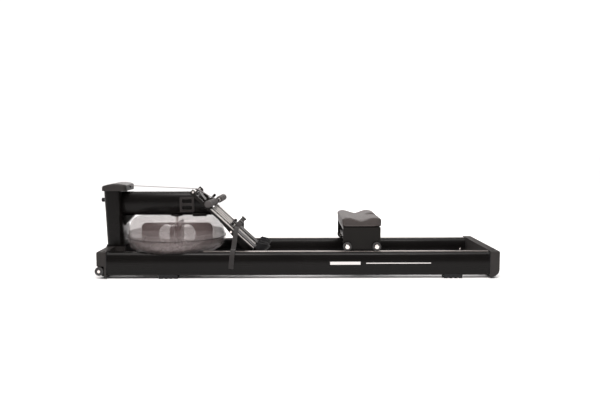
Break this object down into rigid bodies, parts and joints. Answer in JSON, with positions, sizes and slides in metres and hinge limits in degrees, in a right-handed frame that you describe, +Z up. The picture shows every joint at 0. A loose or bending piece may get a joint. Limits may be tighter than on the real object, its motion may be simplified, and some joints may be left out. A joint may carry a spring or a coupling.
{
  "type": "rowing machine",
  "caption": "Low rowing machine with a clear round water tank, a post and boom over it, a strap-driven handle, a sloped footboard and a padded seat on wheels.",
  "frame": {"origin": "centre of the footprint's box, on the floor", "axes": "+X along the rails from the tank end to the rear end, +Y to the rower's right, +Z up"},
  "size_m": [2.17, 0.5734, 0.493],
  "materials": {
    "black_extrusion": "satin black anodised",
    "black_casting": "fine satin black paint",
    "black_steel": "satin black paint",
    "track_metal": "satin",
    "silver_deck": "ridged satin",
    "black_plastic": "fine grain",
    "black_rubber": "matte",
    "clear_tank": "clear polycarbonate",
    "tank_water": "clear",
    "paddle_grey": "smooth",
    "bright_steel": "polished",
    "grey_webbing": "woven",
    "black_webbing": "woven",
    "grip_foam": "matte foam",
    "seat_skin": "matte charcoal",
    "wheel_urethane": "smooth"
  },
  "bodies": {
    "frame": {"rail_left": "black_extrusion", "rail_right": "black_extrusion", "tank_saddles": "black_plastic", "track_strips": "track_metal", "rail_end_gaskets": "black_rubber", "rear_crossmember": "black_casting", "front_crossmember": "black_casting", "rubber_feet": "black_rubber", "tank_support_beams": "black_extrusion", "tank_pads": "black_rubber", "tank_lower_shell": "clear_tank", "tank_upper_shell": "clear_tank", "tank_gasket": "black_rubber", "tank_fill_plug": "black_plastic", "bearing_housing": "black_plastic", "shaft_bearing": "bright_steel", "recoil_spring": "bright_steel", "recoil_spring_housing": "black_steel", "front_post": "black_extrusion", "post_cap": "black_casting", "post_bumper": "black_rubber", "boom": "black_extrusion", "boom_end_plate": "black_steel", "boom_cover": "black_plastic", "tank_hold_down": "black_steel", "drive_strap": "grey_webbing", "strap_axles": "bright_steel", "footboard_sides": "black_steel", "footboard_tubes": "black_steel", "footboard_deck": "black_plastic", "deck_strips": "silver_deck", "frame_bolts": "bright_steel", "foot_straps": "black_webbing", "strap_buckles": "black_plastic"},
    "paddle": {"paddle_shaft": "bright_steel", "paddle_hub": "paddle_grey", "paddle_blades": "paddle_grey", "water": "tank_water"},
    "spool": {"drive_spool": "black_plastic"},
    "low_pulley": {"low_strap_pulley": "black_plastic"},
    "top_pulley": {"top_strap_pulley": "black_plastic"},
    "roller": {"strap_roller": "black_plastic"},
    "handle": {"handle_bar": "bright_steel", "handle_grips": "grip_foam", "handle_clip": "black_plastic", "strap_tail": "grey_webbing"},
    "seat": {"seat_pad": "seat_skin", "seat_base": "black_steel", "carriage_plates": "black_steel", "carriage_cross_tubes": "black_steel", "seat_axle_bolts": "bright_steel"},
    "front_seat_wheels": {"seat_wheels_front": "wheel_urethane"},
    "rear_seat_wheels": {"seat_wheels_rear": "wheel_urethane"},
    "transport_wheel_pair": {"transport_wheels": "wheel_urethane"},
    "heel_left": {"heel_plate_left": "black_plastic", "heel_cup_left": "black_rubber"},
    "heel_right": {"heel_plate_right": "black_plastic", "heel_cup_right": "black_rubber"},
    "lock_knob_left": {"heel_lock_knob_left": "black_plastic"},
    "lock_knob_right": {"heel_lock_knob_right": "black_plastic"}
  },
  "joints": [
    {"name": "seat_slide", "type": "slide", "parent": "frame", "child": "seat", "axis": [1, 0, 0], "range_m": [-0.4, 0.5]},
    {"name": "front_seat_wheel_spin", "type": "hinge", "parent": "seat", "child": "front_seat_wheels", "pos_m": [0.2835, 0, 0.166], "axis": [0, 1, 0], "range_deg": [-1000, 1250]},
    {"name": "rear_seat_wheel_spin", "type": "hinge", "parent": "seat", "child": "rear_seat_wheels", "pos_m": [0.4395, 0, 0.166], "axis": [0, 1, 0], "range_deg": [-1000, 1250]},
    {"name": "handle_pull", "type": "slide", "parent": "frame", "child": "handle", "axis": [1, 0, 0], "range_m": [0, 1.2]},
    {"name": "spool_spin", "type": "hinge", "parent": "frame", "child": "spool", "pos_m": [-0.664, 0, 0.355], "axis": [0, 0, 1], "range_deg": [-2730, 0]},
    {"name": "low_pulley_spin", "type": "hinge", "parent": "frame", "child": "low_pulley", "pos_m": [-0.985, 0, 0.3723], "axis": [0, 1, 0], "range_deg": [0, 4000]},
    {"name": "top_pulley_spin", "type": "hinge", "parent": "frame", "child": "top_pulley", "pos_m": [-0.985, 0, 0.463], "axis": [0, 1, 0], "range_deg": [0, 4000]},
    {"name": "roller_spin", "type": "hinge", "parent": "frame", "child": "roller", "pos_m": [-0.5485, 0, 0.449], "axis": [0, 1, 0], "range_deg": [0, 6700]},
    {"name": "paddle_spin", "type": "hinge", "parent": "frame", "child": "paddle", "pos_m": [-0.664, 0, 0.2], "axis": [0, 0, 1], "continuous": true},
    {"name": "transport_wheel_spin", "type": "hinge", "parent": "frame", "child": "transport_wheel_pair", "pos_m": [-1.026, 0, 0.042], "axis": [0, 1, 0], "continuous": true},
    {"name": "heel_slide_left", "type": "slide", "parent": "frame", "child": "heel_left", "axis": [0.7325, 0, -0.6807], "range_m": [-0.06, 0]},
    {"name": "lock_knob_pull_left", "type": "slide", "parent": "heel_left", "child": "lock_knob_left", "axis": [0.6807, 0, 0.7325], "range_m": [0, 0.006], "stiffness_N_per_m": 300},
    {"name": "heel_slide_right", "type": "slide", "parent": "frame", "child": "heel_right", "axis": [0.7325, 0, -0.6807], "range_m": [-0.06, 0]},
    {"name": "lock_knob_pull_right", "type": "slide", "parent": "heel_right", "child": "lock_knob_right", "axis": [0.6807, 0, 0.7325], "range_m": [0, 0.006], "stiffness_N_per_m": 300}
  ],
  "couplings": [
    {"joint": "front_seat_wheel_spin", "follows": "seat_slide", "rad_per_m": 43.478},
    {"joint": "rear_seat_wheel_spin", "follows": "seat_slide", "rad_per_m": 43.478},
    {"joint": "spool_spin", "follows": "handle_pull", "rad_per_m": -39.526},
    {"joint": "low_pulley_spin", "follows": "handle_pull", "rad_per_m": 57.803},
    {"joint": "top_pulley_spin", "follows": "handle_pull", "rad_per_m": 57.803},
    {"joint": "roller_spin", "follows": "handle_pull", "rad_per_m": 97.087}
  ]
}
